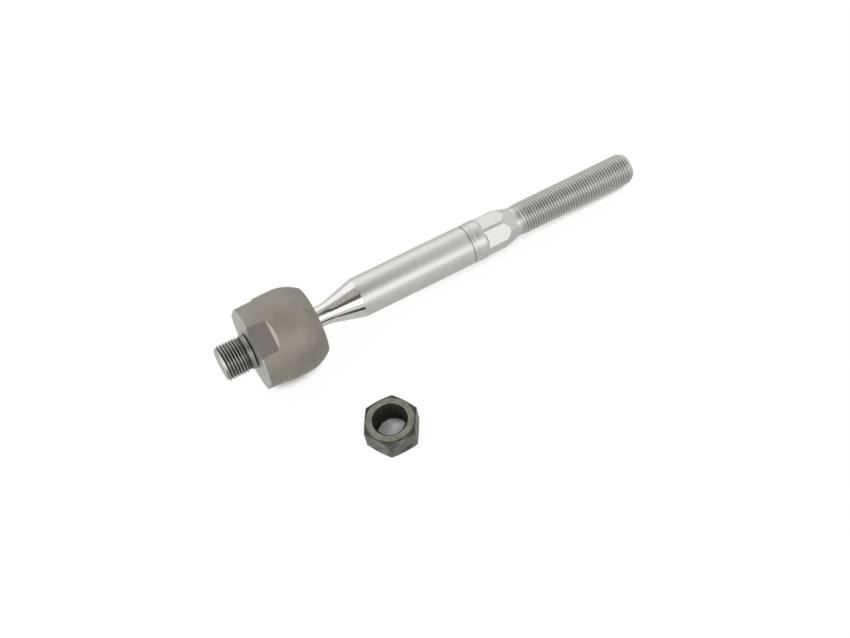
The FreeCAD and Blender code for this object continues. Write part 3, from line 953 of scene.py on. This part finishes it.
class TIEROD_OT_studio(bpy.types.Operator):
    """Set up the pale floor, the soft lamps, the surroundings and the camera"""

    bl_idname = "tierod.studio"
    bl_label = "Studio"

    def execute(self, context):
        self.floor()
        self.world(context)
        # place, then width and height in metres, then watts
        self.lamp("front_box", (-0.12, -0.73, 0.49), (1.9, 0.52), 2.75)
        self.lamp("back_box", (-0.1, 0.75, 0.55), (1.8, 0.8), 2.1)
        self.lamp("left_box", (-0.85, -0.1, 0.3), (0.5, 0.6), 1.6)
        self.camera(context)
        context.scene.view_settings.view_transform = "Standard"
        return {"FINISHED"}

    def floor(self):
        """A pale floor that shows white to the camera and keeps the shadow where it is deep."""
        bpy.ops.object.select_all(action="DESELECT")
        bpy.ops.mesh.primitive_plane_add(size=6, location=(0, 0, 0))
        floor = bpy.context.object
        floor.name = "floor"
        material, tree = new_material("Matt white paper")
        rays = node(tree, "ShaderNodeLightPath")
        part = rays.outputs["Is Camera Ray"]
        for kind in ("Is Glossy Ray", "Is Transmission Ray"):
            faint = node(tree, "ShaderNodeMath", {0: rays.outputs[kind]}, operation="MULTIPLY")
            faint.inputs[1].default_value = 0.5
            part = node(tree, "ShaderNodeMath", {0: part, 1: faint.outputs[0]},
                        operation="MAXIMUM").outputs[0]
        # Where the part stands close over the paper, the paper's own shade shows.
        near = node(tree, "ShaderNodeAmbientOcclusion", samples=16, in_Distance=16 * MM)
        clear = node(tree, "ShaderNodeMapRange", {"Value": near.outputs["AO"]},
                     in_From_Min=0.28, in_From_Max=0.38, in_To_Max=0.85)
        part = node(tree, "ShaderNodeMath", {0: part, 1: clear.outputs["Result"]},
                    operation="MULTIPLY").outputs[0]
        paper = node(tree, "ShaderNodeBsdfDiffuse", in_Color=(0.8, 0.8, 0.8, 1))
        glow = node(tree, "ShaderNodeEmission", in_Color=(1, 1, 1, 1), in_Strength=1.08)
        mixed = node(tree, "ShaderNodeMixShader")
        tree.links.new(part, mixed.inputs[0])
        tree.links.new(paper.outputs[0], mixed.inputs[1])
        tree.links.new(glow.outputs[0], mixed.inputs[2])
        node(tree, "ShaderNodeOutputMaterial", {"Surface": mixed.outputs[0]})
        floor.data.materials.append(material)

    def world(self, context):
        """White to the camera, and a pale tent with a grey roof and two dark gaps for metal."""
        world = bpy.data.worlds.new("studio")
        world.use_nodes = True
        tree = world.node_tree
        tree.nodes.clear()
        rays = node(tree, "ShaderNodeLightPath")
        place = node(tree, "ShaderNodeTexCoord")
        tent = None
        # direction, where the patch starts and is full as a cosine, and its tone
        for toward, low, high, dark in (
            ((-0.15, 0.0, 0.99), 0.78, 0.97, (0.58, 0.58, 0.57, 1)),
            ((-0.28, -0.50, 0.82), 0.966, 0.99, (0.24, 0.2, 0.17, 1)),
            ((0.05, -0.3, 0.953), 0.95, 0.985, (0.24, 0.22, 0.17, 1)),
        ):
            lean = node(tree, "ShaderNodeVectorMath", {0: place.outputs["Generated"]},
                        operation="DOT_PRODUCT")
            lean.inputs[1].default_value = Vector(toward).normalized()
            patch = node(tree, "ShaderNodeValToRGB", {"Fac": lean.outputs["Value"]},
                         stops=((low, WHITE), (high, dark)))
            if tent:
                both = node(tree, "ShaderNodeMix", {"A": tent, "B": patch.outputs["Color"]},
                            **MULTIPLY)
                tent = both.outputs["Result"]
            else:
                tent = patch.outputs["Color"]
        soft = node(tree, "ShaderNodeBackground", in_Color=(0.6, 0.6, 0.6, 1))
        white = node(tree, "ShaderNodeBackground", {"Color": tent})
        seen = rays.outputs["Is Camera Ray"]
        for kind in ("Is Glossy Ray", "Is Transmission Ray"):
            seen = node(tree, "ShaderNodeMath", {0: seen, 1: rays.outputs[kind]},
                        operation="MAXIMUM").outputs[0]
        mixed = node(tree, "ShaderNodeMixShader")
        tree.links.new(seen, mixed.inputs[0])
        tree.links.new(soft.outputs[0], mixed.inputs[1])
        tree.links.new(white.outputs[0], mixed.inputs[2])
        node(tree, "ShaderNodeOutputWorld", {"Surface": mixed.outputs[0]})
        context.scene.world = world

    def lamp(self, name, place, spread, power):
        """A soft box that faces the part."""
        bpy.ops.object.select_all(action="DESELECT")
        bpy.ops.object.light_add(type="AREA", location=place)
        lamp = bpy.context.object
        lamp.name = name
        lamp.data.shape = "RECTANGLE"
        lamp.data.size, lamp.data.size_y = spread
        lamp.data.energy = power
        lamp.rotation_euler = (-Vector(place)).to_track_quat("-Z", "Y").to_euler()

    def camera(self, context):
        """The view that was fitted to the photograph, in millimetres from the ball's middle."""
        place = BALL_MIDDLE + Vector((-62.8171, -377.3038, 556.9149)) * MM
        right = Vector((0.861975, -0.492513, -0.120122)).normalized()
        up = Vector((0.473810, 0.698417, 0.536394)).normalized()
        place += (up * 0.277 - right * 0.136) * MM
        back = right.cross(up).normalized()
        turn = Matrix((right, up, back)).transposed().to_4x4()
        bpy.ops.object.camera_add()
        camera = bpy.context.object
        camera.name = "camera"
        camera.matrix_world = Matrix.Translation(place) @ turn
        camera.data.sensor_fit = "HORIZONTAL"
        camera.data.sensor_width = 36.0
        camera.data.lens = 59.378
        camera.data.clip_start = 0.01
        context.scene.camera = camera


OPERATORS = (
    TIEROD_OT_socket,
    TIEROD_OT_seat,
    TIEROD_OT_rod,
    TIEROD_OT_nut,
    TIEROD_OT_studio,
)


class TIEROD_PT_panel(bpy.types.Panel):
    """Lists the steps that build the tie rod"""

    bl_label = "Tie rod"
    bl_space_type = "VIEW_3D"
    bl_region_type = "UI"
    bl_category = "Tie rod"

    def draw(self, context):
        for operator in OPERATORS:
            self.layout.operator(operator.bl_idname)
        for group in PROPERTIES:
            box = self.layout.box()
            settings = getattr(context.scene, group)
            for name in settings.bl_rna.properties.keys():
                if name not in ("rna_type", "name"):
                    box.prop(settings, name)


PROPERTIES = {
    "tierod_socket": SocketSizes,
    "tierod_rod": RodSizes,
    "tierod_nut": NutSizes,
    "tierod_colours": FinishColours,
}
CLASSES = (*PROPERTIES.values(), *OPERATORS, TIEROD_PT_panel)


def register():
    """Make the groups, the operators and the panel known."""
    for made in CLASSES:
        bpy.utils.register_class(made)
    for name, group in PROPERTIES.items():
        setattr(bpy.types.Scene, name, bpy.props.PointerProperty(type=group))


def unregister():
    """Take them out again."""
    for name in PROPERTIES:
        delattr(bpy.types.Scene, name)
    for made in reversed(CLASSES):
        bpy.utils.unregister_class(made)


def main():
    """Build every piece in order."""
    register()
    bpy.ops.tierod.socket()
    bpy.ops.tierod.seat()
    bpy.ops.tierod.rod()
    bpy.ops.tierod.nut()
    bpy.ops.tierod.studio()
    bpy.context.view_layer.update()


if __name__ == "__main__":
    main()
